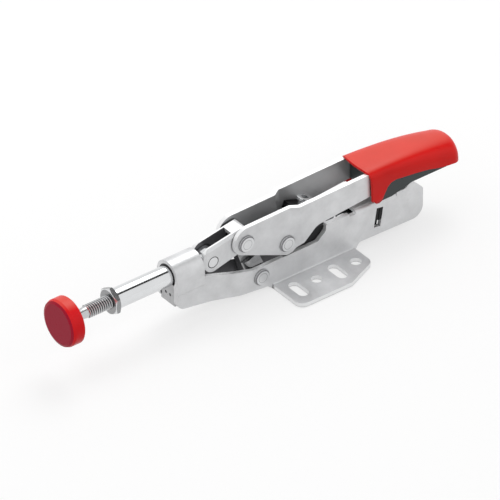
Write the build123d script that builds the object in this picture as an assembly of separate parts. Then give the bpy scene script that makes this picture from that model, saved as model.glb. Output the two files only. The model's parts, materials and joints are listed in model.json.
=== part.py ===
from build123d import *
from math import asin, atan2, cos, degrees, hypot, pi, radians, sin
import os

os.makedirs("parts", exist_ok=True)

# The frame of the model: +X is the push direction, +Z is up, Y is across the clamp.
# The origin is the centre of the four round base holes, on the underside of the flanges.
# All sizes are in millimetres and degrees, with the lever closed and the plunger out.

# Pivots of the toggle linkage, as X and Z
rocker_pivot = (43.5, 11.3)
knee = (54.0, 38.0)
handle_rear = (26.0, 26.0)
rod_pivot = (-6.0, 17.0)
plunger_pivot_x = 74.3
plunger_axis_z = 32.8

# Longer than any one piece, for shapes that are cut back to size
long_reach = 110.0

# Clearances
running_clearance = 0.05
seat_clearance = 0.02
side_clearance = 0.3

# Sheet metal
frame_sheet = 2.5
handle_sheet = 2.5
link_sheet = 2.4
bend_radius = 1.0

# Plunger and guide sleeve
plunger_d = 12.0
plunger_front_x = 138.2
bore_clearance = 0.06
sleeve_front_x = 101.5
sleeve_rear_x = 82.6
sleeve_wall = 3.0
sleeve_skirt = 10.0
insert_bottom_z = 15.0
tongue_width = 6.2
tongue_r = 6.4
tongue_slot_rise = 2.65
tongue_slot_play = 0.8
tongue_slot_shift = 0.45

# Frame outline
flange_front_x = 35.5
flange_rear_x = -20.7
flange_half_width = 33.3
flange_rear_half_width = 24.4
flange_chamfer_x = 0.0
flange_corner_r = 5.0
deck_z = 17.7
nose_belly = (77.6, 10.1)
nose_foot = (57.6, 4.9)
web_top_z = 26.9
web_front_x = -22.0
web_rear_x = -50.0
tail_rear_x = -68.2
tail_apex = (-60.4, 30.4)
relief_width = 4.8
relief_depth = 2.2

# Base holes
hole_pitch_x = 27.0
hole_gauge_y = 38.0
hole_r = 3.3
slot_gauge_y = 40.6
slot_length = 14.4

# Windows in the tail, and the clutch
window_centre = (-37.4, 15.8)
window_width = 4.5
window_height = 12.2
window_lean = 9.5
clutch_plate_count = 2
clutch_plate_t = 1.6
clutch_plate_gap = 0.5
clutch_plate_height = 15.0
clutch_tab_height = 8.0
clutch_tab_rise = 2.0
rod_d = 7.0
rod_rise = 3.3
rod_rear_x = -58.0
rod_eye_r = 5.0
rod_eye_t = 5.0
rod_guide_clearance = 0.45
guide_t = 2.0
front_guide_x = -24.0
rear_guide_from_tail = 22.2
guide_bottom_z = 9.0
spring_wire_d = 1.0
spring_turns = 4
spring_runs = 12

# Links
rocker_r = 5.9
rocker_top_r = 4.7
rocker_wide_from_knee = 15.2
link_r = 6.0
link_rear_top = 7.4
link_front_top = 9.9
link_slot_start = 4.3
coupling_front_r = 6.2
coupling_rear_r = 5.8
coupling_fork_depth = 7.0

# Rivets and pins
rivet_shank_d = 6.0
rivet_head_d = 9.4
rivet_head_t = 1.6
knee_shank_d = 5.0
knee_head_d = 9.8
link_pin_d = 6.2
link_pin_waist_d = 3.6
rod_pin_d = 5.0

# Handle
joggle_low = (19.8, 26.2)
joggle_high = (22.5, 46.4)
joggle_run = 4.2
handle_rear_x = -78.0
handle_top_z = 49.4

# Grip
grip_half_width = 13.4
grip_wall = 1.5
grip_top_wall = 2.3
grip_crown_r = 7.5
grip_rear_r = 8.0
grip_crown_x = -26.5
grip_crown_z = 52.6
grip_rear_x = -92.0
grip_rear_z = 45.0
core_floor_z = 32.4
core_front_x = -31.3
fork_rear_x = -38.0
grip_belly = (-77.0, 33.6)
mouth_step = 2.4

# Adjusting screw between the handle plates
screw_head_top = (7.0, 44.1)
screw_tilt = 20.0
screw_head_d = 9.0
screw_head_t = 2.0
screw_d = 6.0
screw_socket_af = 4.0
screw_tip_gap = 0.3
nut_block_depth = 6.5
nut_block_t = 5.0
nut_block_length = 11.0

# Pad, pad screw and lock nut
pad_front_x = 176.0
pad_d = 28.0
pad_t = 8.5
pad_screw_d = 8.0
pad_screw_engaged = 20.0
pad_bore_depth = 33.0
pad_thread_end_x = 156.5
pad_neck_d = 4.6
pad_neck_start_x = 164.0
pad_seat_depth = 4.0
pad_edge_r = 2.2
lock_nut_af = 13.0
lock_nut_t = 3.5

# Values that follow from the sizes above
channel_half = plunger_d / 2 + bore_clearance
frame_half = channel_half + frame_sheet
moving_half = channel_half - side_clearance
rear_plate_inner = frame_half + side_clearance
rear_plate_outer = rear_plate_inner + handle_sheet
lobe_outer = channel_half + handle_sheet
arm_inner = moving_half - link_sheet
fold_top = frame_sheet + bend_radius + 0.5
plunger_pivot = (plunger_pivot_x, plunger_axis_z)


def slab(outline, y_low, y_high):
    """A flat outline in X and Z, extruded across from y_low to y_high."""
    return extrude(Plane.XZ.offset(-y_high) * outline, y_high - y_low)


def outline_of(corners):
    """A closed outline from (x, z, corner radius) triples."""
    points = [(x, z) for x, z, r in corners]
    radii = [r for x, z, r in corners]
    return make_face(FilletPolyline(*points, radius=radii, close=True))


def cross_cylinder(centre, radius, y_low, y_high):
    """A cylinder along Y through a pivot."""
    return slab(Pos(centre[0], centre[1]) * Circle(radius), y_low, y_high)


def cross_box(x_low, x_high, half_width, z_low, z_high):
    """A box centred on the mid-plane."""
    size = Box(x_high - x_low, 2 * half_width, z_high - z_low)
    return Pos((x_low + x_high) / 2, 0, (z_low + z_high) / 2) * size


def rod_along_x(radius, x_low, x_high, z):
    """A round bar along X at height z."""
    return extrude(Plane.YZ.offset(x_low) * Pos(0, z) * Circle(radius), x_high - x_low)


def both_sides(piece):
    """The piece and its mirror image across the mid-plane."""
    return piece + mirror(piece, Plane.XZ)


def tapered_bar(start, start_r, end, end_r):
    """The outline of two round ends joined by their tangents."""
    distance = hypot(end[0] - start[0], end[1] - start[1])
    heading = degrees(atan2(end[1] - start[1], end[0] - start[0]))
    lean = asin((start_r - end_r) / distance)
    a_x, a_z = start_r * sin(lean), start_r * cos(lean)
    b_x, b_z = distance + end_r * sin(lean), end_r * cos(lean)
    web = make_face(Polyline((a_x, a_z), (b_x, b_z), (b_x, -b_z), (a_x, -a_z), close=True))
    bar = Circle(start_r) + web + Pos(distance, 0) * Circle(end_r)
    return Pos(start[0], start[1]) * Rot(0, 0, heading) * bar


def rivet(centre, shank_d, head_d, half_length):
    """A headed rivet along Y, with the heads just outside half_length."""
    shank = cross_cylinder(centre, shank_d / 2, -half_length, half_length)
    head = cross_cylinder(centre, head_d / 2, half_length, half_length + rivet_head_t)
    rim = head.edges().filter_by(GeomType.CIRCLE).sort_by(Axis.Y)[-1]
    head = chamfer(rim, 0.5)
    return shank + both_sides(head)


def rod_line():
    """The plane whose Z runs rearward along the adjusting rod, from its pivot."""
    rise = radians(rod_rise)
    return Plane(
        origin=(rod_pivot[0], 0, rod_pivot[1]),
        x_dir=(0, 1, 0),
        z_dir=(-cos(rise), 0, sin(rise)),
    )


def rod_bar(radius, start, end):
    """A round bar along the adjusting rod, from start to end behind its pivot."""
    return rod_line() * Pos(0, 0, (start + end) / 2) * Cylinder(radius, end - start)


def frame_outline():
    """Side view of the folded frame, from the nose round to the deck."""
    relief_front_x = web_front_x + relief_width
    corners = [
        (sleeve_front_x, plunger_axis_z, 0),
        (sleeve_front_x, 14.0, 6.5),
        (nose_belly[0], nose_belly[1], 30.0),
        (nose_foot[0], nose_foot[1], 30.0),
        (flange_front_x + 3.5, 2.9, 2.0),
        (flange_front_x, 0, 0),
        (flange_rear_x, 0, 0),
        (flange_rear_x - 3.5, 4.9, 2.0),
        (tail_rear_x, 4.1, 7.0),
        (tail_rear_x, 22.4, 1.5),
        (tail_apex[0], tail_apex[1], 1.5),
        (tail_apex[0] + 4.6, web_top_z, 4.0),
        (web_front_x, web_top_z, 0),
        (web_front_x, web_top_z - relief_depth, 0.8),
        (relief_front_x, web_top_z - relief_depth, 0.8),
        (relief_front_x, web_top_z - 0.7, 0),
        (-1.0, web_top_z, 1.5),
        (-1.0, deck_z + 5.0, 3.0),
        (4.6, deck_z, 3.0),
        (49.0, deck_z, 12.0),
        (63.0, 21.8, 30.0),
        (sleeve_rear_x, 28.6, 0),
        (sleeve_rear_x, plunger_axis_z, 0),
    ]
    return outline_of(corners)


def fold():
    """The rounded fold between the near side plate and its flange."""
    reach = frame_half + 2 * bend_radius
    corners = [
        (channel_half, fold_top, 0),
        (channel_half, 0, bend_radius + frame_sheet),
        (reach, 0, 0),
        (reach, frame_sheet, 0),
        (frame_half, frame_sheet, bend_radius),
        (frame_half, fold_top, 0),
    ]
    section = Plane.YZ.offset(flange_rear_x) * outline_of(corners)
    return extrude(section, flange_front_x - flange_rear_x)


def flange():
    """The near base flange, with its round holes and cross slots."""
    root = frame_half + 1.5 * bend_radius
    corners = [
        (flange_front_x, root, 0),
        (flange_front_x, flange_half_width, flange_corner_r),
        (flange_chamfer_x, flange_half_width, flange_corner_r),
        (flange_rear_x, flange_rear_half_width, flange_corner_r),
        (flange_rear_x, root, 0),
    ]
    plate = extrude(outline_of(corners), frame_sheet)
    drill = Cylinder(hole_r, 4 * frame_sheet)
    for x in (-hole_pitch_x / 2, hole_pitch_x / 2):
        plate -= Pos(x, hole_gauge_y / 2, 0) * drill
    slot = extrude(SlotOverall(slot_length, 2 * hole_r, rotation=90), 2 * frame_sheet, both=True)
    for x in (0, hole_pitch_x):
        plate -= Pos(x, slot_gauge_y / 2, 0) * slot
    return plate


def sleeve():
    """The guide sleeve: the sheet wrapped over the plunger, and its skirt."""
    outer = channel_half + sleeve_wall
    step = outer - frame_half
    skirt_z = plunger_axis_z - sleeve_skirt
    skirt = make_face(
        Polyline(
            (-outer, plunger_axis_z),
            (outer, plunger_axis_z),
            (outer, skirt_z + 2 * step),
            (frame_half, skirt_z),
            (-frame_half, skirt_z),
            (-outer, skirt_z + 2 * step),
            close=True,
        )
    )
    section = skirt + Pos(0, plunger_axis_z) * Circle(outer)
    return extrude(Plane.YZ.offset(sleeve_rear_x) * section, sleeve_front_x - sleeve_rear_x)


def window_cut():
    """The leaning window through one or both side plates."""
    cut = Box(window_width, 4 * frame_half, window_height)
    return Pos(window_centre[0], 0, window_centre[1]) * Rot(0, -window_lean, 0) * cut


def web_corner():
    """What the rounded fold between the top web and the near side plate leaves out."""
    r = frame_sheet + bend_radius
    length = web_front_x - web_rear_x
    centre = Pos((web_front_x + web_rear_x) / 2, frame_half - r, web_top_z - r)
    square = Pos(0, r, r) * Box(length, 2 * r, 2 * r)
    return centre * (square - Rot(0, 90, 0) * Cylinder(r, length))


def frame_body():
    """The folded steel frame as one piece."""
    body = slab(frame_outline(), -frame_half, frame_half)
    body -= both_sides(web_corner())
    body += sleeve()
    body -= cross_box(web_front_x, sleeve_front_x + 1, channel_half, -1, plunger_axis_z)
    body -= cross_box(tail_rear_x - 1, web_front_x + 1, channel_half, -1, web_top_z - frame_sheet)
    body -= cross_box(tail_rear_x - 1, web_rear_x, channel_half, -1, tail_apex[1] + 1)
    body -= rod_along_x(channel_half, sleeve_rear_x - 1, sleeve_front_x + 1, plunger_axis_z)
    body -= cross_box(flange_rear_x, flange_front_x, frame_half, -1, fold_top)
    body += both_sides(fold() + flange())
    body -= window_cut()
    body -= cross_cylinder(rocker_pivot, rivet_shank_d / 2 + seat_clearance, -frame_half, frame_half)
    return body


def nose_guide_insert():
    """Block under the plunger, between the side plates at the nose."""
    front = sleeve_front_x - 0.6
    block = cross_box(sleeve_rear_x + 2.4, front, channel_half, insert_bottom_z, plunger_axis_z - 4.5)
    block -= rod_along_x(channel_half, sleeve_rear_x, sleeve_front_x, plunger_axis_z)
    for y in (-1.9, 1.9):
        block -= Pos(front, y, insert_bottom_z + 5.8) * Rot(0, 90, 0) * Cylinder(0.9, 1.6)
    return block


def plunger():
    """Round rod, threaded bore at the front and a flat tongue at the rear."""
    shoulder_x = plunger_pivot_x + link_r + 0.9
    bar = rod_along_x(plunger_d / 2, shoulder_x, plunger_front_x, plunger_axis_z)
    bar = chamfer(bar.edges().filter_by(GeomType.CIRCLE), 0.5)
    tongue = cross_cylinder(plunger_pivot, tongue_r, -tongue_width / 2, tongue_width / 2)
    neck_half = plunger_d / 2 - 1.0
    tongue += cross_box(
        plunger_pivot_x,
        shoulder_x + 2,
        tongue_width / 2,
        plunger_axis_z - neck_half,
        plunger_axis_z + neck_half,
    )
    slot_r = link_pin_waist_d / 2 + running_clearance + tongue_slot_play
    slot = SlotCenterToCenter(2 * tongue_slot_rise, 2 * slot_r, rotation=90)
    slot = Pos(plunger_pivot_x - tongue_slot_shift, plunger_axis_z) * slot
    tongue -= slab(slot, -tongue_width, tongue_width)
    bore_r = pad_screw_d / 2 + running_clearance
    bar -= rod_along_x(bore_r, plunger_front_x - pad_bore_depth, plunger_front_x + 1, plunger_axis_z)
    return bar + tongue


def pad_screw():
    """Screw in the plunger, with a tapered tip seated in the pad."""
    start = plunger_front_x - pad_screw_engaged
    pad_back = pad_front_x - pad_t
    r = pad_screw_d / 2
    neck = pad_neck_d / 2
    end = pad_back + pad_seat_depth
    profile = Polyline(
        (start, 0),
        (start, r - 0.7),
        (start + 0.7, r),
        (pad_thread_end_x, r),
        (pad_thread_end_x + 0.8, r - 0.6),
        (pad_neck_start_x, neck),
        (end, neck),
        (end, 0),
        close=True,
    )
    solid = revolve(Plane.XZ * make_face(profile), Axis.X)
    return Pos(0, 0, plunger_axis_z) * solid


def pad():
    """Moulded pressure cap with a rounded front edge."""
    r = pad_d / 2
    seat_r = pad_neck_d / 2 + seat_clearance
    front = pad_front_x
    back = front - pad_t
    turn_in = pad_edge_r * (1 - cos(radians(45)))
    profile = Polyline(
        (back, seat_r),
        (back, r - 0.6),
        (back + 0.6, r),
        (front - pad_edge_r, r),
        (front - turn_in, r - turn_in),
        (front, r - pad_edge_r),
        (front, 0),
        (back + pad_seat_depth, 0),
        (back + pad_seat_depth, seat_r),
        close=True,
    )
    return Pos(0, 0, plunger_axis_z) * revolve(Plane.XZ * make_face(profile), Axis.X)


def lock_nut():
    """Thin hexagon nut against the plunger's end face."""
    hexagon = RegularPolygon(lock_nut_af / 2, 6, major_radius=False, rotation=30)
    plane = Plane.YZ.offset(plunger_front_x) * Pos(0, plunger_axis_z)
    nut = extrude(plane * hexagon, lock_nut_t)
    corner_r = lock_nut_af / 2 / cos(radians(30))
    cone = Cone(corner_r + lock_nut_t, corner_r - 0.6, lock_nut_t + 0.6)
    cone = Pos(plunger_front_x + (lock_nut_t + 0.6) / 2 - 0.6, 0, plunger_axis_z) * Rot(0, 90, 0) * cone
    nut = nut & cone
    bore_r = pad_screw_d / 2 + running_clearance
    return nut - rod_along_x(bore_r, plunger_front_x - 1, plunger_front_x + 9, plunger_axis_z)


def link_frame():
    """The plane of the plunger link: origin at the knee, X towards the plunger pivot."""
    heading = (plunger_pivot[0] - knee[0], 0, plunger_pivot[1] - knee[1])
    return Plane(origin=(knee[0], 0, knee[1]), x_dir=heading, z_dir=(0, -1, 0))


def link_slab(outline, half_width):
    """An outline in the link's own plane, extruded both ways."""
    return extrude(link_frame() * outline, half_width, both=True)


def plunger_link():
    """Folded link: two arms on the plunger's tongue, and a web over the knee."""
    length = hypot(plunger_pivot[0] - knee[0], plunger_pivot[1] - knee[1])
    corners = [
        (-link_r, -link_r, link_r - 0.1),
        (length + link_r, -link_r, link_r - 0.1),
        (length + link_r, link_front_top, 6.0),
        (-link_r, link_rear_top, 5.0),
    ]
    blank = link_slab(outline_of([(x, z, 0) for x, z, r in corners]), moving_half)
    top_face = blank.faces().sort_by(Axis.Z)[-1]
    top_edges = top_face.edges().filter_by(lambda e: abs(e.tangent_at(0.5).Y) < 0.5)
    link = chamfer(top_edges, 0.6 * link_sheet) & link_slab(outline_of(corners), frame_half)
    under_web = link_rear_top - link_sheet
    hollow = make_face(
        Polyline(
            (-2 * link_r, -2 * link_r),
            (length + 2 * link_r, -2 * link_r),
            (length + 2 * link_r, 2 * link_front_top),
            (link_slot_start, 2 * link_front_top),
            (link_slot_start, under_web + 0.2),
            (-2 * link_r, under_web),
            close=True,
        )
    )
    link -= link_slab(hollow, arm_inner)
    link -= cross_cylinder(knee, knee_shank_d / 2 + running_clearance, -frame_half, frame_half)
    link -= cross_cylinder(plunger_pivot, link_pin_d / 2 + seat_clearance, -frame_half, frame_half)
    return link


def plunger_link_pin():
    """Pin staked in the link's arms, with a thinner waist in the tongue."""
    waist_half = arm_inner
    pin = cross_cylinder(plunger_pivot, link_pin_d / 2, -moving_half, moving_half)
    waist = cross_cylinder(plunger_pivot, link_pin_d, -waist_half, waist_half)
    waist -= cross_cylinder(plunger_pivot, link_pin_waist_d / 2, -waist_half, waist_half)
    return pin - waist


def rocker():
    """Round-fronted swing arm: wide at the frame pivot, a tongue at the knee."""
    outline = tapered_bar(rocker_pivot, rocker_r, knee, rocker_top_r)
    rise = (knee[0] - rocker_pivot[0], 0, knee[1] - rocker_pivot[1])
    across = Plane(origin=(rocker_pivot[0], 0, rocker_pivot[1]), x_dir=(0, -1, 0), z_dir=rise)
    round_r = moving_half - 1.0
    corners = [
        (-moving_half, -2 * rocker_r, 0),
        (moving_half, -2 * rocker_r, 0),
        (moving_half, rocker_r, round_r),
        (-moving_half, rocker_r, round_r),
    ]
    wide_length = hypot(rise[0], rise[2]) - rocker_wide_from_knee + 2 * rocker_r
    wide = extrude(across.offset(-2 * rocker_r) * outline_of(corners), wide_length)
    body = slab(outline, -moving_half, moving_half) & wide
    body += slab(outline, -tongue_width / 2, tongue_width / 2)
    body -= cross_cylinder(rocker_pivot, rivet_shank_d / 2 + running_clearance, -frame_half, frame_half)
    return body - cross_cylinder(knee, knee_shank_d / 2 + running_clearance, -frame_half, frame_half)


def coupling_link():
    """Bar from the handle's rear rivet to the fork on the adjusting rod's eye."""
    bar = tapered_bar(handle_rear, coupling_front_r, rod_pivot, coupling_rear_r)
    body = slab(bar, -moving_half, moving_half)
    heading = degrees(atan2(handle_rear[1] - rod_pivot[1], handle_rear[0] - rod_pivot[0]))
    fork = Box(2 * coupling_fork_depth, rod_eye_t + 0.5, 3 * coupling_rear_r)
    body -= Pos(rod_pivot[0], 0, rod_pivot[1]) * Rot(0, -heading, 0) * fork
    body -= cross_cylinder(handle_rear, rivet_shank_d / 2 + running_clearance, -frame_half, frame_half)
    body -= cross_cylinder(rod_pivot, rod_pin_d / 2 + seat_clearance, -frame_half, frame_half)
    return body


def rod_pin():
    """Pin through the coupling link's fork and the rod's eye."""
    return cross_cylinder(rod_pivot, rod_pin_d / 2, -moving_half + 0.1, moving_half - 0.1)


def adjust_rod():
    """Round rod with a flattened eye, gripped by the clutch plates."""
    end = (rod_pivot[0] - rod_rear_x) / cos(radians(rod_rise))
    start = coupling_fork_depth + 2.5
    bar = rod_bar(rod_d / 2, start, end)
    bar = chamfer(bar.edges().filter_by(GeomType.CIRCLE).sort_by(Axis.X)[0], 0.8)
    eye = cross_cylinder(rod_pivot, rod_eye_r, -rod_eye_t / 2, rod_eye_t / 2)
    neck = rod_line() * Pos(0, 0, (start + 2) / 2) * Box(rod_eye_t, rod_d - 1, start + 2)
    rod = bar + eye + neck
    return rod - cross_cylinder(rod_pivot, rod_pin_d / 2 + running_clearance, -frame_half, frame_half)


def rod_guide(x_front):
    """Cross plate between the side plates, under the top web."""
    plate = cross_box(x_front - guide_t, x_front, channel_half, guide_bottom_z, web_top_z - frame_sheet)
    reach = rod_pivot[0] - tail_rear_x
    return plate - rod_bar(rod_d / 2 + rod_guide_clearance, 1, reach)


def clutch_plate(index):
    """One plate of the clutch stack, with a tab in each window."""
    pitch = clutch_plate_t + clutch_plate_gap
    offset = ((clutch_plate_count - 1) / 2 - index) * pitch
    body = Box(clutch_plate_t, 2 * moving_half, clutch_plate_height)
    tab = Box(clutch_plate_t, 2 * (frame_half - 0.15), clutch_tab_height)
    plate = body + Pos(0, 0, clutch_tab_rise) * tab
    lean = Pos(window_centre[0], 0, window_centre[1]) * Rot(0, -window_lean, 0)
    plate = lean * Pos(offset, 0, 0) * plate
    reach = rod_pivot[0] - tail_rear_x
    return plate - rod_bar(rod_d / 2 + rod_guide_clearance, 1, reach)


def clutch_spring():
    """Coil spring round the rod, from the front guide to the first clutch plate."""
    mean_r = rod_d / 2 + rod_guide_clearance + spring_wire_d / 2 + 0.2
    start = rod_pivot[0] - front_guide_x + guide_t + spring_wire_d / 2 + 0.2
    stack_half = ((clutch_plate_count - 1) * (clutch_plate_t + clutch_plate_gap) + clutch_plate_t) / 2
    rear_x = window_centre[0] + (stack_half + spring_wire_d / 2) / cos(radians(window_lean))
    end = rod_pivot[0] - rear_x - 0.6
    runs = spring_turns * spring_runs
    points = []
    for i in range(runs + 1):
        turn = 2 * pi * i / spring_runs
        points.append((mean_r * cos(turn), mean_r * sin(turn), start + (end - start) * i / runs))
    path = rod_line() * Polyline(*points)
    section = Plane(origin=path @ 0, z_dir=path % 0) * RegularPolygon(spring_wire_d / 2, 6)
    return sweep(section, path=path, transition=Transition.RIGHT)


def handle_outline():
    """Side view of a lever plate, from the knee lobe back into the grip."""
    corners = [
        (61.7, 47.9, 9.2),
        (61.7, 33.6, 7.0),
        (23.5, 17.05, 6.0),
        (7.3, 31.4, 8.0),
        (-31.6, 34.9, 30.0),
        (handle_rear_x, 36.0, 3.0),
        (handle_rear_x, 42.6, 3.0),
        (-36.0, handle_top_z, 40.0),
    ]
    return outline_of(corners)


def handle_plate():
    """The near lever plate: lobe in line with the frame, joggled out behind."""
    lean = (joggle_high[0] - joggle_low[0]) / (joggle_high[1] - joggle_low[1])
    foot_x = joggle_low[0] - joggle_low[1] * lean
    back_x = foot_x - joggle_run
    shift = handle_sheet * 0.3
    corners = [
        (long_reach, channel_half, 0),
        (foot_x, channel_half, 2.0),
        (back_x, rear_plate_inner, 2.0),
        (-long_reach, rear_plate_inner, 0),
        (-long_reach, rear_plate_outer, 0),
        (back_x + shift, rear_plate_outer, 2.0),
        (foot_x + shift, lobe_outer, 2.0),
        (long_reach, lobe_outer, 0),
    ]
    strip = extrude(outline_of(corners), long_reach, dir=(lean, 0, 1))
    plate = strip & slab(handle_outline(), 0, 2 * rear_plate_outer)
    seat = seat_clearance
    plate -= cross_cylinder(knee, knee_shank_d / 2 + seat, 0, 2 * frame_half)
    plate -= cross_cylinder(handle_rear, rivet_shank_d / 2 + seat, 0, 2 * frame_half)
    return plate


def grip_outline():
    """Side view of the red moulding: nose, fork, arched lower edge and rear end."""
    corners = [
        (grip_crown_x, grip_crown_z, 0),
        (-33.6, 28.4, 1.0),
        (-36.6, 28.4, 1.0),
        (-40.0, 40.9, 4.0),
        (-52.0, 39.9, 0),
        (grip_belly[0], grip_belly[1], 0),
        (grip_rear_x, 32.0, 0),
        (grip_rear_x, grip_rear_z, 7.0),
        (-60.0, 50.0, 0),
    ]
    return outline_of(corners)


def grip_block(outline, inset, top_inset):
    """A side view made solid, rounded along the crown and at the rear corners."""
    half = grip_half_width - inset
    top = grip_crown_z - top_inset
    section = outline_of([(-half, 0, 0), (half, 0, 0), (half, top, grip_crown_r), (-half, top, grip_crown_r)])
    fall = (grip_rear_z - grip_crown_z) / (grip_crown_x - grip_rear_x)
    crown = extrude(Plane.YZ.offset(grip_crown_x) * section, long_reach, dir=(-1, 0, fall))
    rear = grip_rear_x + inset
    plan = outline_of([(0, -half, 0), (0, half, 0), (rear, half, grip_rear_r), (rear, -half, grip_rear_r)])
    return slab(outline, -half, half) & crown & extrude(plan, long_reach)


def grip_shell():
    """The red outer moulding, an inverted trough with two forks at the front."""
    shell = grip_block(grip_outline(), 0, 0)
    shell -= grip_core_solid()
    shell -= cross_box(fork_rear_x, 0, rear_plate_outer, 0, handle_top_z - mouth_step)
    shell -= cross_box(fork_rear_x, 0, rear_plate_inner, 0, handle_top_z)
    return shell - both_sides(handle_plate())


def core_outline():
    """Side view of the dark moulding, from its front forks to the rear end."""
    rear = grip_rear_x + grip_wall
    corners = [
        (fork_rear_x + 1.2, 28.9, 1.0),
        (-44.0, 28.9, 3.0),
        (-58.0, core_floor_z, 0),
        (rear, core_floor_z, 0),
        (rear, grip_rear_z - grip_top_wall, 6.0),
        (-60.0, 50.0 - grip_top_wall, 0),
        (fork_rear_x - 2.0, 51.4 - grip_top_wall, 0),
        (fork_rear_x, 51.6 - grip_top_wall, 0),
    ]
    return outline_of(corners)


def grip_core_solid():
    """The dark moulding before the lever plates' pockets are cut."""
    return grip_block(core_outline(), grip_wall, grip_top_wall)


def grip_core():
    """The dark inner moulding, filling the grip around the lever plates."""
    nose = cross_box(fork_rear_x, core_front_x, rear_plate_inner, core_floor_z + 2.5, handle_top_z)
    core = grip_core_solid() + nose
    core -= cross_box(grip_rear_x, core_front_x + 1, rear_plate_inner, 0, core_floor_z)
    core -= both_sides(handle_plate())
    return core


def screw_plane():
    """The plane of the adjusting screw: origin at the head's top, Z up along the screw."""
    tilt = radians(screw_tilt)
    origin = (screw_head_top[0], 0, screw_head_top[1])
    return Plane(origin=origin, x_dir=(0, 1, 0), z_dir=(-sin(tilt), 0, cos(tilt)))


def screw_length():
    """Length from the head's top to just above the coupling link."""
    run = (handle_rear[0] - rod_pivot[0], handle_rear[1] - rod_pivot[1])
    length = hypot(*run)
    normal = (-run[1] / length, run[0] / length)
    along = (run[0] / length, run[1] / length)
    reach = (screw_head_top[0] - rod_pivot[0], screw_head_top[1] - rod_pivot[1])
    height = reach[0] * normal[0] + reach[1] * normal[1]
    share = (reach[0] * along[0] + reach[1] * along[1]) / length
    edge = coupling_rear_r + (coupling_front_r - coupling_rear_r) * share
    tilt = radians(screw_tilt)
    closing = cos(tilt) * normal[1] - sin(tilt) * normal[0]
    return (height - edge - screw_tip_gap) / closing


def adjusting_screw():
    """Flat-headed screw that bears on the coupling link."""
    plane = screw_plane()
    length = screw_length()
    head = plane * Pos(0, 0, -screw_head_t / 2) * Cylinder(screw_head_d / 2, screw_head_t)
    head = chamfer(head.edges().filter_by(GeomType.CIRCLE), 0.3)
    shank = plane * Pos(0, 0, -length / 2) * Cylinder(screw_d / 2, length)
    tip = shank.edges().filter_by(GeomType.CIRCLE).sort_by(Axis.Z)[0]
    shank = chamfer(tip, 0.6)
    socket = extrude(RegularPolygon(screw_socket_af / 2, 6, major_radius=False), -1.6)
    return head + shank - plane * socket


def adjusting_nut_block():
    """Threaded bridge between the lever plates."""
    centre = -nut_block_depth - nut_block_t / 2
    block = Box(2 * rear_plate_inner, nut_block_length, nut_block_t)
    hole = Cylinder(screw_d / 2 + running_clearance, 2 * nut_block_t)
    return screw_plane() * Pos(0, 0, centre) * (block - hole)


def save(solid, name):
    """Write one piece as a STEP file named after it."""
    solid.label = name
    export_step(solid, f"parts/{name}.step")


plate = handle_plate()
pieces = {
    "frame_body": frame_body(),
    "nose_guide_insert": nose_guide_insert(),
    "plunger": plunger(),
    "pad_screw": pad_screw(),
    "pad": pad(),
    "lock_nut": lock_nut(),
    "plunger_link": plunger_link(),
    "plunger_link_pin": plunger_link_pin(),
    "rocker": rocker(),
    "rocker_pivot_rivet": rivet(rocker_pivot, rivet_shank_d, rivet_head_d, frame_half),
    "knee_rivet": rivet(knee, knee_shank_d, knee_head_d, lobe_outer),
    "handle_rear_rivet": rivet(handle_rear, rivet_shank_d, rivet_head_d, lobe_outer),
    "handle_plate_left": plate,
    "handle_plate_right": mirror(plate, Plane.XZ),
    "coupling_link": coupling_link(),
    "rod_pin": rod_pin(),
    "adjust_rod": adjust_rod(),
    "rod_guide_front": rod_guide(front_guide_x),
    "rod_guide_rear": rod_guide(tail_rear_x + rear_guide_from_tail),
    "clutch_spring": clutch_spring(),
    "adjusting_screw": adjusting_screw(),
    "adjusting_nut_block": adjusting_nut_block(),
    "grip_core": grip_core(),
    "grip_shell": grip_shell(),
}
for index in range(clutch_plate_count):
    pieces[f"clutch_plate_{index + 1}"] = clutch_plate(index)

for name, solid in pieces.items():
    save(solid, name)
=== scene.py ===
import json
from math import cos, pi, radians, sin, tan

import bpy
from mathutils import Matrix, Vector


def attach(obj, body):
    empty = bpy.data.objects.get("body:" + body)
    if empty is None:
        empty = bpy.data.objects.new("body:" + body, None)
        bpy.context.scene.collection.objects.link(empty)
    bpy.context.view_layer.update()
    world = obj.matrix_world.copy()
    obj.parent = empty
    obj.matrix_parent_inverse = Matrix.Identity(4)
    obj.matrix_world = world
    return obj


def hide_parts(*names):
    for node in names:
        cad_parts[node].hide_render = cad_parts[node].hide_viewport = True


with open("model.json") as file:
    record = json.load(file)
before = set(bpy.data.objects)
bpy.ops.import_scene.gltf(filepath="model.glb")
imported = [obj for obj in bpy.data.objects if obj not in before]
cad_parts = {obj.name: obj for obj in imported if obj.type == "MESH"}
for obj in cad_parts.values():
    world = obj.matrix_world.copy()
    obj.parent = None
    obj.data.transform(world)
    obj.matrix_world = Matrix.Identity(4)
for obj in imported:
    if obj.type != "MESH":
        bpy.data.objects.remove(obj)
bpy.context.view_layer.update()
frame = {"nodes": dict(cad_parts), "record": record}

nodes = frame["nodes"]

# Lengths are in metres, angles in degrees and colours linear, unless a comment says otherwise.

# Pivots of the toggle linkage, as X and Z
rocker_pivot = (0.0435, 0.0113)
knee = (0.0540, 0.0380)
handle_rear = (0.0260, 0.0260)
plunger_pivot = (0.0743, 0.0328)
plunger_axis_z = plunger_pivot[1]

# Camera, taken from the photograph, with its lens in millimetres and its far clip in camera distances
camera_azimuth = 142.2
camera_elevation = 35.5
camera_lens = 1500.0
camera_far_clip = 20
photo_width = 0.2717

# A point on the rocker's pivot, and how far right of and above the picture's middle it shows
anchor_point = Vector((rocker_pivot[0], 0.0085, rocker_pivot[1]))
anchor_right = 0.00614
anchor_up = -0.01451

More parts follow.
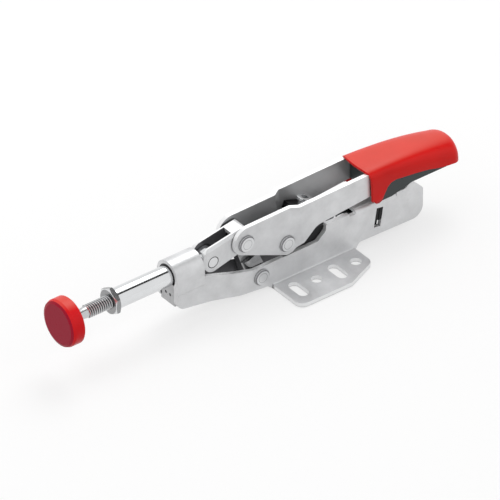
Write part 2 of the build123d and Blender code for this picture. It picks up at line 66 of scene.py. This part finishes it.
# Pad screw and its thread, whose root and flank are shares of half a pitch
screw_start_x = 0.1185
thread_end_x = 0.1568
thread_pitch = 0.00145
thread_major_r = 0.0040
thread_minor_r = 0.0032
thread_root_share = 0.1
thread_flank_share = 0.75
thread_turn_steps = 40
thread_pitch_steps = 8
tip_shoulder = 0.0002
tip_power = 1.6
tip_join_share = 0.05
# How far inside the root and the crest the thread's painted shade runs, and how dark it gets at most
valley_margin = 0.0001
valley_depth = 0.9
neck_start_x = 0.1640
neck_end_x = 0.1690
neck_r = 0.0022

# Lock nut
nut_flats = 0.0146
nut_bore_r = 0.00405
nut_rear_x = 0.1382
nut_front_x = 0.1417
nut_chamfer = 30
nut_face_share = 0.97
nut_edge = 0.0002
nut_steps = 72

# Grip shell, in millimetres: its side edge as X and Z from the mouth to the rear
grip_edge = (
    (-30.0, 31.4),
    (-31.4, 29.7),
    (-33.6, 29.3),
    (-35.6, 30.2),
    (-37.6, 33.8),
    (-39.8, 37.6),
    (-42.4, 39.6),
    (-46.0, 40.1),
    (-53.0, 39.1),
    (-60.0, 38.2),
    (-68.0, 36.9),
    (-75.0, 34.9),
    (-80.0, 33.9),
    (-92.0, 32.6),
)
grip_front_x = -26.5
grip_rear_x = -92.0
grip_half_width = 13.4
grip_crown_z = 51.2
grip_wall = 1.5
grip_corner_r = 6.0
mm = 0.001

# How far the grip's mouth is set back: by the square of Y up to a limit, and by the depth below the crown
grip_side_back = 2.6
grip_mouth_bow = 0.0125
grip_mouth_lean = 0.045

# How far the grip's crown falls along it, and drops at its closed end
grip_even_fall = 1.2
grip_rear_fall = 6.6
grip_fall_power = 2.6
grip_end_drop = 3.0

# Where the grip's side walls turn into its arch: below the crown, but always above the side edge
grip_wall_top = 9.0
grip_wall_top_fall = 3.5
grip_wall_least = 0.3

# Powers of the grip's arch, boxy at the mouth and rounder at the rear, and how soon they change
grip_front_power = 4.0
grip_rear_power = 2.2
grip_power_rate = 1.15

# How finely the grip is divided: the fork's share of its length, then steps
grip_fork_share = 0.24
grip_fork_steps = 40
grip_body_steps = 24
grip_corner_steps = 8
grip_wall_steps = 6
grip_arch_steps = 36

# Where finishes, painted highlights and painted shade change on the frame, the link, the lever plates and
# the rivets
side_plate_y = 0.0087
inner_wall_y = 0.0062
sleeve_rear_x = 0.0825
mouth_start_x = 0.0950
mouth_rim_r = 0.0070
web_low_z = 0.0262
flange_start_y = 0.0100
flange_high_z = 0.003
tail_open_x = -0.080
tail_dark_x = -0.055
link_gap_y = 0.0035
plate_gap_y = 0.003
pin_groove_inner_r = 0.0030
pin_groove_outer_r = 0.0036
rivet_mark_inner_r = 0.0027
rivet_mark_outer_r = 0.0030

# How directly a surface must face along an axis for its finish, painted highlight and painted shade to
# change, with 1 as straight along it
plate_facing = 0.6
fold_facing = 0.5
web_facing = 0.95
wall_facing = 0.9
rivet_chamfer_facing = (0.3, 0.93)
nut_chamfer_facing = (0.2, 0.95)
pad_front_facing = (0.45, 0.98)
crown_facing = (0.80, 1.0)

# How far a highlight is painted on the crowns of the mouldings, towards lit_red, at most
grip_highlight_share = 0.26
pad_highlight_share = 0.30

# Rounded edges of the frame and the lever plates
edge_round = 0.0003
edge_steps = 2
edge_angle = 35

# Painted shade in each crease between pieces, with the range of light over which it darkens
crease_reach = 0.0016
crease_samples = 8
crease_light = (0.30, 0.80)
crease_depth = 0.95
crease_shade_grey = (0.02, 0.02, 0.022)

# Noise in the finishes: the part of its range that is used, then scales per metre, shares and bump depths
noise_range = (0.3, 0.7)
metal_patch_scale = 90.0
polish_scale = 420.0
polish_spread = 0.15
grain_scale = 2600.0
grain_depth = 0.00004
moulding_patch_scale = 60.0
moulding_mottle = 0.05
skin_scale = 1500.0
skin_spread = 0.1
skin_depth = 0.00005

# Sockets of a Mix node that hold colours: its two inputs and its output
mix_under = 6
mix_over = 7
mix_result = 2

# Colours
sheet_grey = (0.73, 0.735, 0.745)
# Painted highlight on the cut edges of the sheet pieces
edge_highlight_grey = (0.92, 0.925, 0.93)
# Painted shade in the thread's valleys, the ring round the link's pin and the sleeve's mouth
groove_shade_grey = (0.03, 0.03, 0.032)
# Painted shade on the rivets' chamfers
chamfer_shade_grey = (0.20, 0.20, 0.21)
# Painted shade inside the frame's channel and between the link's arms
inside_shade_grey = (0.16, 0.16, 0.17)
bright_grey = (0.74, 0.75, 0.76)
black_grey = (0.012, 0.012, 0.013)
red = (0.72, 0.010, 0.008)
# Painted highlight on the mouldings' crowns
lit_red = (0.86, 0.24, 0.17)
pad_red = (0.74, 0.012, 0.016)
# Painted shade on the pad's front
pad_front_shade_red = (0.37, 0.004, 0.028)
charcoal = (0.035, 0.045, 0.046)
sheet_rough = 0.40
sheet_sheen = 0.6

# Stage
middle = (0.04, 0, 0.03)
world_level = 0.95
key_place = (-0.5, -0.4, 1.1)
key_size = 0.6
key_power = 4.0
card_place = (-0.15, 0.15, 0.51)
card_width = 1.6
card_height = 0.16
card_level = 0.02
floor_size = 8.0
floor_drop = 0.0003
floor_level = 0.95
# Share of the floor's white that is its own, so that its shadow stays soft
floor_glow = 0.65


def add_node(tree, kind, **inputs):
    """A shader node with its inputs set by name."""
    node = tree.nodes.new(kind)
    for key, value in inputs.items():
        node.inputs[key.replace("_", " ")].default_value = value
    return node


def new_material(name):
    """An empty node material and its Principled shader."""
    material = bpy.data.materials.new(name)
    material.use_nodes = True
    tree = material.node_tree
    shader = tree.nodes["Principled BSDF"]
    return material, tree, shader


def noise(tree, scale, detail, rough, stretch=None):
    """Noise in the object's own metres, stretched if asked."""
    where = add_node(tree, "ShaderNodeTexCoord")
    texture = add_node(tree, "ShaderNodeTexNoise", Scale=scale, Detail=detail, Roughness=rough)
    if stretch:
        mapping = add_node(tree, "ShaderNodeMapping", Scale=stretch)
        tree.links.new(where.outputs["Object"], mapping.inputs["Vector"])
        tree.links.new(mapping.outputs["Vector"], texture.inputs["Vector"])
    else:
        tree.links.new(where.outputs["Object"], texture.inputs["Vector"])
    return texture.outputs["Fac"]


def ramp(tree, source, low, high):
    """A two-colour ramp over a noise value."""
    node = add_node(tree, "ShaderNodeValToRGB")
    for element, place, colour in zip(node.color_ramp.elements, noise_range, (low, high)):
        element.position = place
        element.color = (*colour, 1)
    tree.links.new(source, node.inputs["Fac"])
    return node.outputs["Color"]


def rescale(tree, value, start, end, low=0.0, high=1.0, easing="LINEAR"):
    """A value mapped from start and end to low and high, and held beyond them."""
    node = add_node(tree, "ShaderNodeMapRange", From_Min=start, From_Max=end, To_Min=low, To_Max=high)
    node.interpolation_type = easing
    tree.links.new(value, node.inputs["Value"])
    return node.outputs["Result"]


def bump(tree, shader, source, strength, distance):
    """A bump map on the shader."""
    node = add_node(tree, "ShaderNodeBump", Strength=strength, Distance=distance)
    tree.links.new(source, node.inputs["Height"])
    tree.links.new(node.outputs["Normal"], shader.inputs["Normal"])


def shade(colour, factor):
    """A colour made lighter or darker."""
    return tuple(min(1.0, c * factor) for c in colour)


def mottle(tree, shader, source, colour, amount):
    """Gives a shader a colour that noise makes lighter and darker."""
    tone = ramp(tree, source, shade(colour, 1 - amount), shade(colour, 1 + amount))
    tree.links.new(tone, shader.inputs["Base Color"])


def roughen(tree, shader, source, rough, spread):
    """Gives a shader a roughness that noise makes uneven."""
    uneven = rescale(tree, source, *noise_range, rough * (1 - spread), rough * (1 + spread))
    tree.links.new(uneven, shader.inputs["Roughness"])


def maths(tree, operation, *values):
    """A maths node over numbers or sockets."""
    node = add_node(tree, "ShaderNodeMath")
    node.operation = operation
    for socket, value in zip(node.inputs, values):
        if isinstance(value, (int, float)):
            socket.default_value = value
        else:
            tree.links.new(value, socket)
    return node.outputs[0]


def size(tree, value):
    """A value without its sign."""
    return maths(tree, "ABSOLUTE", value)


def above(tree, value, limit):
    """1 where a value is over a limit."""
    return maths(tree, "GREATER_THAN", value, limit)


def below(tree, value, limit):
    """1 where a value is under a limit."""
    return maths(tree, "LESS_THAN", value, limit)


def both(tree, first, second):
    """1 where two masks are 1."""
    return maths(tree, "MULTIPLY", first, second)


def between(tree, value, low, high):
    """1 where a value lies between two limits."""
    return both(tree, above(tree, value, low), below(tree, value, high))


def parts_of(tree, output):
    """X, Y and Z of the object's own position or normal."""
    where = add_node(tree, "ShaderNodeTexCoord")
    split = add_node(tree, "ShaderNodeSeparateXYZ")
    tree.links.new(where.outputs[output], split.inputs[0])
    return split.outputs


def from_axis(tree, first, first_at, second, second_at):
    """Distance from an axis, given the two coordinates across it."""
    place = parts_of(tree, "Object")
    a = maths(tree, "SUBTRACT", place[first], first_at)
    b = maths(tree, "SUBTRACT", place[second], second_at)
    squares = maths(tree, "ADD", maths(tree, "MULTIPLY", a, a), maths(tree, "MULTIPLY", b, b))
    return maths(tree, "SQRT", squares)


def from_pivot(tree, pivot):
    """Distance from a pivot's axis, which runs along Y."""
    return from_axis(tree, "X", pivot[0], "Z", pivot[1])


def from_plunger_axis(tree):
    """Distance from the plunger's axis."""
    return from_axis(tree, "Y", 0.0, "Z", plunger_axis_z)


def side_facing(tree):
    """How far a surface faces along Y, to either side."""
    return size(tree, parts_of(tree, "Normal")["Y"])


def plate_edge_highlight(tree):
    """1 where a flat lever plate or link faces away from Y: its edges, where a highlight is painted."""
    return below(tree, side_facing(tree), plate_facing)


def frame_edge_highlight(tree):
    """1 on the cut edges of the folded frame, along its side plates and round its flanges, where a
    highlight is painted.
    """
    normal = parts_of(tree, "Normal")
    place = parts_of(tree, "Object")
    away = size(tree, place["Y"])
    plate = both(tree, below(tree, away, side_plate_y), below(tree, place["X"], sleeve_rear_x))
    cut = below(tree, size(tree, normal["Y"]), fold_facing)
    web = both(tree, above(tree, place["Z"], web_low_z), above(tree, normal["Z"], web_facing))
    side = both(tree, both(tree, cut, plate), maths(tree, "SUBTRACT", 1.0, web))
    rim = below(tree, size(tree, normal["Z"]), fold_facing)
    flange = both(tree, above(tree, away, flange_start_y), below(tree, place["Z"], flange_high_z))
    return maths(tree, "MAXIMUM", side, both(tree, rim, flange))


def inner_face(tree, half_gap):
    """1 on flat side walls that are nearer the mid-plane than half_gap."""
    near = below(tree, size(tree, parts_of(tree, "Object")["Y"]), half_gap)
    return both(tree, near, above(tree, side_facing(tree), wall_facing))


def frame_inside_shade(tree):
    """1 on the channel's inner walls, where shade is painted, fading towards the open end of the tail."""
    fade = rescale(tree, parts_of(tree, "Object")["X"], tail_open_x, tail_dark_x)
    return both(tree, fade, inner_face(tree, inner_wall_y))


def link_inside_shade(tree):
    """1 on the inner faces of the link's arms, where shade is painted."""
    return inner_face(tree, link_gap_y)


def plate_inside_shade(tree):
    """1 on the faces of the lever plates that look at each other, where shade is painted."""
    outward = maths(tree, "MULTIPLY", parts_of(tree, "Object")["Y"], parts_of(tree, "Normal")["Y"])
    return below(tree, outward, -plate_gap_y)


def bore_shadow(tree):
    """1 on the inner rim of the sleeve's mouth, where a shadow is painted."""
    rim = below(tree, from_plunger_axis(tree), mouth_rim_r)
    return both(tree, rim, above(tree, parts_of(tree, "Object")["X"], mouth_start_x))


def pin_groove_shade(tree):
    """1 on the ring where the link's pin is staked, with painted shade in its groove."""
    return between(tree, from_pivot(tree, plunger_pivot), pin_groove_inner_r, pin_groove_outer_r)


def rivet_chamfer_shade(tree):
    """1 on the chamfer of a rivet's head, where shade is painted."""
    return between(tree, side_facing(tree), *rivet_chamfer_facing)


def nut_chamfer_highlight(tree):
    """1 on the nut's chamfers, between its flats and its faces, where a highlight is painted."""
    return between(tree, size(tree, parts_of(tree, "Normal")["X"]), *nut_chamfer_facing)


def pad_front_shade(tree):
    """1 on the pad's flat front, where shade is painted, fading over its rounded edge."""
    return rescale(tree, parts_of(tree, "Normal")["X"], *pad_front_facing)


def crown_highlight(tree, most):
    """Rises to a share on faces that look upward, for a painted highlight on a moulding's crown."""
    return rescale(tree, parts_of(tree, "Normal")["Z"], *crown_facing, 0.0, most, "SMOOTHSTEP")


def grip_crown_highlight(tree):
    """The painted highlight on top of the grip."""
    return crown_highlight(tree, grip_highlight_share)


def pad_crown_highlight(tree):
    """The painted highlight on top of the pad's rim."""
    return crown_highlight(tree, pad_highlight_share)


def thread_valley_shade(tree):
    """Near 1 at the root of the thread, where shade is painted, 0 at its crest and on the plain tip."""
    root = thread_minor_r + valley_margin
    crest = thread_major_r - valley_margin
    depth = rescale(tree, from_plunger_axis(tree), root, crest, valley_depth, 0.0)
    return both(tree, depth, below(tree, parts_of(tree, "Object")["X"], thread_end_x))


def crease_shade(tree):
    """Near 1 where shade is painted: in each crease and on the lines where pieces meet."""
    crease = add_node(tree, "ShaderNodeAmbientOcclusion", Distance=crease_reach)
    crease.samples = crease_samples
    return rescale(tree, crease.outputs["AO"], *crease_light, crease_depth, 0.0)


def tint(material, mask, colour):
    """Lays a colour over a material where a mask, built in its node tree, is 1."""
    tree = material.node_tree
    shader = tree.nodes["Principled BSDF"]
    blend = add_node(tree, "ShaderNodeMix")
    blend.data_type = "RGBA"
    tree.links.new(mask(tree), blend.inputs["Factor"])
    tree.links.new(shader.inputs["Base Color"].links[0].from_socket, blend.inputs[mix_under])
    blend.inputs[mix_over].default_value = (*colour, 1)
    tree.links.new(blend.outputs[mix_result], shader.inputs["Base Color"])


def metal(name, colour, rough, patches=0.06, grain=0.12, stretch=None, sheen=1.0):
    """Plated or ground steel: mottled colour, uneven polish and a fine grain."""
    material, tree, shader = new_material(name)
    shader.inputs["Metallic"].default_value = sheen
    mottle(tree, shader, noise(tree, metal_patch_scale, 4.0, 0.6), colour, patches)
    roughen(tree, shader, noise(tree, polish_scale, 3.0, 0.6, stretch), rough, polish_spread)
    bump(tree, shader, noise(tree, grain_scale, 2.0, 0.6, stretch), grain, grain_depth)
    return material


def plastic(name, colour, rough, peel=0.15, gloss=0.45):
    """Moulded plastic with a faint skin texture."""
    material, tree, shader = new_material(name)
    mottle(tree, shader, noise(tree, moulding_patch_scale, 3.0, 0.5), colour, moulding_mottle)
    skin = noise(tree, skin_scale, 2.0, 0.5)
    roughen(tree, shader, skin, rough, skin_spread)
    shader.inputs["Specular IOR Level"].default_value = gloss
    bump(tree, shader, skin, peel, skin_depth)
    return material


def sheet_metal(name, edge=None):
    """Zinc-plated sheet, with a painted highlight on its edges where asked."""
    material = metal(name, sheet_grey, sheet_rough, 0.09, sheen=sheet_sheen)
    if edge:
        tint(material, edge, edge_highlight_grey)
    return material


def rivet_finish(name, pivot):
    """Rivet steel with painted shade on its chamfer and in each crease, and the faint ring left by the
    setting tool.
    """

    def setting_mark(tree):
        return between(tree, from_pivot(tree, pivot), rivet_mark_inner_r, rivet_mark_outer_r)

    material = metal(name, sheet_grey, 0.34, 0.06, 0.1)
    tint(material, setting_mark, shade(sheet_grey, 0.55))
    # Painted shade on the chamfer
    tint(material, rivet_chamfer_shade, chamfer_shade_grey)
    # Painted shade in each crease
    tint(material, crease_shade, crease_shade_grey)
    return material


# Sheet metal
sheet = sheet_metal("satin_sheet")
# Painted highlight on the edges of the lever plates and the link
edged_sheet = sheet_metal("edged_sheet", plate_edge_highlight)
# Painted shade where the lever plates face each other
tint(edged_sheet, plate_inside_shade, shade(sheet_grey, 0.75))
link_sheet = sheet_metal("link_sheet", plate_edge_highlight)
# Painted shade in the groove round the link's pin
tint(link_sheet, pin_groove_shade, groove_shade_grey)
# Painted shade between the link's arms
tint(link_sheet, link_inside_shade, inside_shade_grey)
# Painted highlight on the frame's cut edges
frame_sheet = sheet_metal("frame_sheet", frame_edge_highlight)
# Painted shade inside the frame's channel
tint(frame_sheet, frame_inside_shade, shade(inside_shade_grey, 0.8))
# Painted shadow in the sleeve's mouth
tint(frame_sheet, bore_shadow, groove_shade_grey)

# Turned, ground and drawn steel
# Near-black steel for the black_steel slot, also put on inner pieces as painted shade
black_and_painted_shade = metal("black_and_painted_shade_steel", black_grey, 0.45, 0.2, sheen=0.6)
plated = metal("bright_plating", bright_grey, 0.24, 0.05, 0.08)
pin_steel = metal("pin_steel", sheet_grey, 0.34, 0.06, 0.1)
insert_steel = metal("insert_steel", shade(sheet_grey, 0.6), 0.4, 0.1)
swing_steel = metal("swing_steel", shade(sheet_grey, 0.45), 0.2, 0.05)
ground = metal("ground_steel", bright_grey, 0.13, 0.03, 0.06, (0.2, 1, 1))
wire = metal("spring_wire", shade(bright_grey, 0.6), 0.3)
threaded = metal("threaded_steel", shade(bright_grey, 0.8), 0.26, 0.05, 0.08)
# Painted shade in the thread's valleys
tint(threaded, thread_valley_shade, groove_shade_grey)
nut_steel = metal("nut_steel", shade(bright_grey, 0.42), 0.26, 0.08, 0.08)
# Painted highlight on the nut's chamfers
tint(nut_steel, nut_chamfer_highlight, bright_grey)

# Mouldings
red_plastic = plastic("red_moulding", red, 0.34, gloss=0.2)
# Painted highlight on the grip's crown
tint(red_plastic, grip_crown_highlight, lit_red)
pad_plastic = plastic("red_cap", pad_red, 0.30, 0.08, gloss=0.12)
# Painted highlight on the pad's rim
tint(pad_plastic, pad_crown_highlight, lit_red)
# Painted shade on the pad's front
tint(pad_plastic, pad_front_shade, pad_front_shade_red)
dark_plastic = plastic("dark_moulding", charcoal, 0.50, 0.3)

# Painted shade in each crease of the steel pieces
crease_shaded = (sheet, edged_sheet, link_sheet, frame_sheet, plated, pin_steel, nut_steel, ground, swing_steel)
for steel in crease_shaded:
    tint(steel, crease_shade, crease_shade_grey)

# The finish that each slot gives, then the pieces with a finish of their own
slot_finishes = {
    "sheet_steel": sheet,
    "bright_steel": ground,
    "plated_steel": plated,
    "spring_steel": wire,
    "black_steel": black_and_painted_shade,
    "red_plastic": red_plastic,
    "dark_plastic": dark_plastic,
    "red_pad": pad_plastic,
}
own_finishes = {
    "frame_body": frame_sheet,
    "handle_plate_left": edged_sheet,
    "handle_plate_right": edged_sheet,
    "plunger_link": link_sheet,
    "plunger_link_pin": pin_steel,
    "rocker_pivot_rivet": rivet_finish("rocker_pivot_rivet_steel", rocker_pivot),
    "knee_rivet": rivet_finish("knee_rivet_steel", knee),
    "handle_rear_rivet": rivet_finish("handle_rear_rivet_steel", handle_rear),
    # Painted shade: inner pieces that sit in the frame's shade get the near-black steel
    "coupling_link": black_and_painted_shade,
    "adjusting_nut_block": black_and_painted_shade,
    "rod_guide_front": black_and_painted_shade,
    "rod_guide_rear": black_and_painted_shade,
    "nose_guide_insert": insert_steel,
    "rocker": swing_steel,
}


def dress(piece, material):
    """Gives a piece one material."""
    piece.data.materials.clear()
    piece.data.materials.append(material)


def soften(piece):
    """Rounds a piece's sharp edges a little."""
    modifier = piece.modifiers.new("edges", "BEVEL")
    modifier.width = edge_round
    modifier.segments = edge_steps
    modifier.limit_method = "ANGLE"
    modifier.angle_limit = radians(edge_angle)
    modifier.harden_normals = True


for part in frame["record"]["subparts"]:
    dress(nodes[part["node"]], slot_finishes[part["material_slot"]])
for name, finish in own_finishes.items():
    dress(nodes[name], finish)
for name in ("frame_body", "handle_plate_left", "handle_plate_right"):
    soften(nodes[name])


def mesh_piece(name, points, faces, material, body, smooth=True):
    """A mesh object that rides on a body."""
    mesh = bpy.data.meshes.new(name)
    mesh.from_pydata(points, [], faces)
    mesh.validate()
    piece = bpy.data.objects.new(name, mesh)
    bpy.context.scene.collection.objects.link(piece)
    for face in mesh.polygons:
        face.use_smooth = smooth
    dress(piece, material)
    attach(piece, body)
    return piece


def bands(count, around, closed=False):
    """The faces between rings of points in a row, and back to the first ring if closed."""
    faces = []
    for i in range(count if closed else count - 1):
        a, b = i * around, (i + 1) % count * around
        for j in range(around):
            k = (j + 1) % around
            faces.append((a + j, a + k, b + k, b + j))
    return faces


def thread_radius(x, turn):
    """Radius of the threaded screw at x, for an angle given in turns."""
    phase = ((x - screw_start_x) / thread_pitch - turn) % 1.0
    wave = abs(2 * phase - 1)
    crest = min(1.0, max(0.0, (wave - thread_root_share) / thread_flank_share))
    return thread_minor_r + (thread_major_r - thread_minor_r) * crest


def screw_radius(x, turn):
    """Radius of the whole pad screw: thread, rounded tip and neck."""
    thread = thread_radius(x, turn)
    if x < thread_end_x:
        return thread
    if x < neck_start_x:
        share = (x - thread_end_x) / (neck_start_x - thread_end_x)
        tip_r = thread_minor_r + tip_shoulder
        tip = neck_r + (tip_r - neck_r) * (1 - share ** tip_power)
        return min(tip, thread) if share < tip_join_share else tip
    return neck_r


def pad_screw():
    """The pad screw with its thread, from inside the plunger to inside the pad."""
    around = thread_turn_steps
    step = thread_pitch / thread_pitch_steps
    count = int((neck_end_x - screw_start_x) / step) + 1
    points = []
    for i in range(count):
        x = screw_start_x + i * step
        for j in range(around):
            turn = j / around
            r = screw_radius(x, turn)
            points.append((x, r * cos(2 * pi * turn), plunger_axis_z + r * sin(2 * pi * turn)))
    faces = bands(count, around)
    faces.append(tuple(reversed(range(around))))
    faces.append(tuple(range((count - 1) * around, count * around)))
    piece = mesh_piece("pad_screw_threaded", points, faces, threaded, "pad_screw")
    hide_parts("pad_screw")


def nut_ring(x, radius=None, slope=0.0):
    """One ring of the nut, round or hexagonal; a slope moves its corners along X."""
    ring = []
    flat_r = nut_flats / 2
    for j in range(nut_steps):
        turn = 2 * pi * j / nut_steps
        corner_r = flat_r / cos((turn + pi / 6) % (pi / 3) - pi / 6)
        r = radius or corner_r
        along = slope * (corner_r - flat_r)
        ring.append((x + along, r * cos(turn), plunger_axis_z + r * sin(turn)))
    return ring


def lock_nut():
    """The hexagon nut, with its corners chamfered on both faces."""
    face_r = nut_flats / 2 * nut_face_share
    slope = tan(radians(nut_chamfer))
    rings = [
        nut_ring(nut_rear_x, nut_bore_r),
        nut_ring(nut_rear_x, face_r),
        nut_ring(nut_rear_x + nut_edge, slope=slope),
        nut_ring(nut_front_x - nut_edge, slope=-slope),
        nut_ring(nut_front_x, face_r),
        nut_ring(nut_front_x, nut_bore_r),
    ]
    points = [point for ring in rings for point in ring]
    faces = bands(len(rings), nut_steps, closed=True)
    piece = mesh_piece(
        "lock_nut_chamfered", points, faces, nut_steel, "lock_nut", smooth=False
    )
    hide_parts("lock_nut")


def along_edge(x):
    """Height of the grip's side edge at x, straight between its listed points."""
    for (x1, z1), (x2, z2) in zip(grip_edge, grip_edge[1:]):
        if x2 <= x <= x1:
            share = (x - x1) / (x2 - x1)
            return z1 + (z2 - z1) * share
    return grip_edge[-1][1] if x < grip_edge[-1][0] else grip_edge[0][1]


def grip_stations():
    """Places along the grip, closer together at the fork, with the rear corner's turn."""
    places = [(i / grip_fork_steps * grip_fork_share, 0.0) for i in range(grip_fork_steps)]
    rear_run = 1 - grip_corner_r / (grip_front_x - grip_rear_x)
    for i in range(grip_body_steps + 1):
        places.append((grip_fork_share + (rear_run - grip_fork_share) * i / grip_body_steps, 0.0))
    for i in range(1, grip_corner_steps + 1):
        turn = pi / 2 * i / grip_corner_steps
        places.append((rear_run + (1 - rear_run) * sin(turn), 1 - cos(turn)))
    return places


def arch_power(value, power):
    """A sine or cosine bent towards a square, with its sign kept."""
    bent = abs(value) ** (2 / power)
    return bent if value > 0 else -bent


def grip_profile(along, closing):
    """Y and Z of one arch of the grip, from the near edge over the crown to the far edge."""
    half = grip_half_width - grip_corner_r * closing
    fall = grip_even_fall * along + (grip_rear_fall - grip_even_fall) * along ** grip_fall_power
    crown = grip_crown_z - fall - grip_end_drop * closing
    share = min(1.0, along * grip_power_rate)
    power = grip_front_power + (grip_rear_power - grip_front_power) * share
    side_front_x = grip_front_x - grip_side_back
    edge = along_edge(side_front_x + (grip_rear_x - side_front_x) * along)
    wall_top = max(edge + grip_wall_least, crown - grip_wall_top - grip_wall_top_fall * along)
    wall = [edge + (wall_top - edge) * i / grip_wall_steps for i in range(grip_wall_steps)]
    points = [(half, z) for z in wall]
    for i in range(grip_arch_steps + 1):
        angle = pi * i / grip_arch_steps
        rise = abs(arch_power(sin(angle), power))
        points.append((half * arch_power(cos(angle), power), wall_top + (crown - wall_top) * rise))
    points += [(-half, z) for z in reversed(wall)]
    return points


def grip_section(along, closing):
    """One arch of the grip in place, set back where the mouth bows and leans."""
    placed = []
    for y, z in grip_profile(along, closing):
        drop = max(0.0, grip_crown_z - z)
        back = min(grip_side_back, grip_mouth_bow * y * y) + grip_mouth_lean * drop
        front = grip_front_x - back
        placed.append((front + (grip_rear_x - front) * along, y, z))
    return placed


def grip_shell():
    """The red moulding: boxy at the mouth, a round arch at the rear."""
    rows = [grip_section(along, closing) for along, closing in grip_stations()]
    width = len(rows[0])
    points = [(x * mm, y * mm, z * mm) for row in rows for x, y, z in row]
    faces = []
    for i in range(len(rows) - 1):
        for j in range(width - 1):
            k = i * width + j
            faces.append((k, k + width, k + width + 1, k + 1))
    last = (len(rows) - 1) * width
    faces.append(tuple(reversed(range(last, last + width))))
    shell = mesh_piece("grip_shell_moulded", points, faces, red_plastic, "handle")
    wall = shell.modifiers.new("wall", "SOLIDIFY")
    wall.thickness = grip_wall * mm
    wall.offset = -1
    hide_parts("grip_shell")


pad_screw()
lock_nut()
grip_shell()


def flat_card(name, centre, facing, width, height, material):
    """A rectangle that faces a point, with one side along X as far as it can be."""
    centre = Vector(centre)
    normal = (Vector(facing) - centre).normalized()
    side = Vector((1, 0, 0))
    side = (side - normal * side.dot(normal)).normalized()
    up = normal.cross(side)
    corners = []
    for a, b in ((-1, -1), (1, -1), (1, 1), (-1, 1)):
        corners.append(centre + side * a * width / 2 + up * b * height / 2)
    mesh = bpy.data.meshes.new(name)
    mesh.from_pydata(corners, [], [(0, 1, 2, 3)])
    card = bpy.data.objects.new(name, mesh)
    bpy.context.scene.collection.objects.link(card)
    card.data.materials.append(material)
    return card


def plain_world():
    """An even white surround."""
    world = bpy.data.worlds.new("studio")
    bpy.context.scene.world = world
    world.use_nodes = True
    background = world.node_tree.nodes["Background"]
    background.inputs["Color"].default_value = (1, 1, 1, 1)
    background.inputs["Strength"].default_value = world_level


def seen_directly(tree):
    """1 for camera, glossy and transmission rays."""
    path = add_node(tree, "ShaderNodeLightPath")
    total = path.outputs["Is Camera Ray"]
    for name in ("Is Glossy Ray", "Is Transmission Ray"):
        total = maths(tree, "MAXIMUM", total, path.outputs[name])
    return total


def floor_material():
    """Pale floor: partly its own white, and partly matt so that it keeps the shadow."""
    material = bpy.data.materials.new("pale_floor")
    material.use_nodes = True
    tree = material.node_tree
    tree.nodes.remove(tree.nodes["Principled BSDF"])
    diffuse = add_node(tree, "ShaderNodeBsdfDiffuse", Color=(floor_level, floor_level, floor_level, 1))
    glow = add_node(tree, "ShaderNodeEmission", Color=(1, 1, 1, 1))
    tree.links.new(seen_directly(tree), glow.inputs["Strength"])
    mixed = add_node(tree, "ShaderNodeMixShader", Fac=floor_glow)
    tree.links.new(diffuse.outputs[0], mixed.inputs[1])
    tree.links.new(glow.outputs[0], mixed.inputs[2])
    tree.links.new(mixed.outputs[0], tree.nodes["Material Output"].inputs["Surface"])
    return material


def card_material():
    """The matt dark studio card that draws a line along the plunger."""
    material, _, shader = new_material("dark_card")
    shader.inputs["Base Color"].default_value = (card_level, card_level, card_level, 1)
    shader.inputs["Roughness"].default_value = 1.0
    return material


def area_light(name, place, target, side, power):
    """A square soft light that looks at a point."""
    data = bpy.data.lights.new(name, "AREA")
    data.size = side
    data.energy = power
    light = bpy.data.objects.new(name, data)
    light.location = place
    light.visible_camera = False
    light.rotation_mode = "QUATERNION"
    aim = Vector(target) - Vector(place)
    light.rotation_quaternion = aim.to_track_quat("-Z", "Y")
    bpy.context.scene.collection.objects.link(light)


plain_world()
flat_card("floor", (0, 0, -floor_drop), (0, 0, 1), floor_size, floor_size, floor_material())
strip_card = flat_card("strip_card", card_place, middle, card_width, card_height, card_material())
strip_card.visible_camera = False
area_light("key", key_place, middle, key_size, key_power)


def make_camera():
    """A long lens at the photograph's angle, framed on a known point."""
    azimuth, elevation = radians(camera_azimuth), radians(camera_elevation)
    back = Vector((sin(azimuth) * cos(elevation), -cos(azimuth) * cos(elevation), sin(elevation)))
    turn = (-back).to_track_quat("-Z", "Y")
    right = turn @ Vector((1, 0, 0))
    up = turn @ Vector((0, 1, 0))
    target = anchor_point - right * anchor_right - up * anchor_up
    data = bpy.data.cameras.new("camera")
    data.lens = camera_lens
    distance = photo_width * camera_lens / data.sensor_width
    data.clip_end = camera_far_clip * distance
    camera = bpy.data.objects.new("camera", data)
    camera.rotation_mode = "QUATERNION"
    camera.location = target + back * distance
    camera.rotation_quaternion = turn
    bpy.context.scene.collection.objects.link(camera)
    bpy.context.scene.camera = camera


make_camera()
bpy.context.scene.view_settings.view_transform = "Standard"
